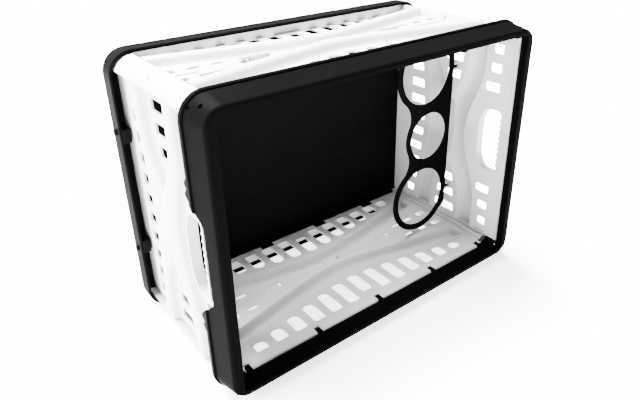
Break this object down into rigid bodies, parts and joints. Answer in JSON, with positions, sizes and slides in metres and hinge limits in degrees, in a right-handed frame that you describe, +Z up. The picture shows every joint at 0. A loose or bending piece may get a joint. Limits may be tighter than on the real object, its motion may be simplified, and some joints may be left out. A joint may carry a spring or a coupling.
{
  "type": "folding crate",
  "caption": "Folding storage crate on its long side, open to the front, with slotted white walls, black rim and base and a swing-out bottle holder.",
  "frame": {"origin": "middle of the resting side, on the floor: the crate lies on one long side", "axes": "+X along the 480 mm side, -Y out of the opening, +Y towards the base panel, +Z up across the 350 mm width"},
  "size_m": [0.486, 0.24, 0.35],
  "materials": {
    "wall_white": "satin moulded polypropylene",
    "rim_black": "satin moulded polypropylene",
    "base_black": "fine-grained moulded polypropylene",
    "holder_black": "satin moulded polypropylene",
    "pin_black": "smooth nylon",
    "hinge_steel": "bright drawn wire"
  },
  "bodies": {
    "root": {"rim_frame": "rim_black", "base_tray": "base_black", "lower_wall_base_half": "wall_white", "lower_wall_rim_half": "wall_white", "upper_wall_base_half": "wall_white", "upper_wall_rim_half": "wall_white", "lower_wall_base_rod": "hinge_steel", "lower_wall_rim_rod": "hinge_steel", "lower_wall_seam_pins": "hinge_steel", "upper_wall_base_rod": "hinge_steel", "upper_wall_rim_rod": "hinge_steel", "upper_wall_seam_pins": "hinge_steel", "left_end_pins": "pin_black", "right_end_pins": "pin_black", "left_base_catches": "base_black", "right_base_catches": "base_black"},
    "left_wall": {"left_end_wall": "wall_white"},
    "right_wall": {"right_end_wall": "wall_white", "holder_pins": "pin_black"},
    "holder": {"bottle_holder": "holder_black"}
  },
  "joints": [
    {"name": "left_end_wall_swing", "type": "hinge", "parent": "root", "child": "left_wall", "pos_m": [-0.2255, -0.104, 0.175], "axis": [0, 0, -1], "range_deg": [0, 90]},
    {"name": "right_end_wall_swing", "type": "hinge", "parent": "root", "child": "right_wall", "pos_m": [0.2255, -0.104, 0.175], "axis": [0, 0, 1], "range_deg": [0, 90]},
    {"name": "bottle_holder_swing", "type": "hinge", "parent": "right_wall", "child": "holder", "pos_m": [0.2175, -0.008, 0.175], "axis": [0, 0, -1], "range_deg": [0, 90]}
  ]
}
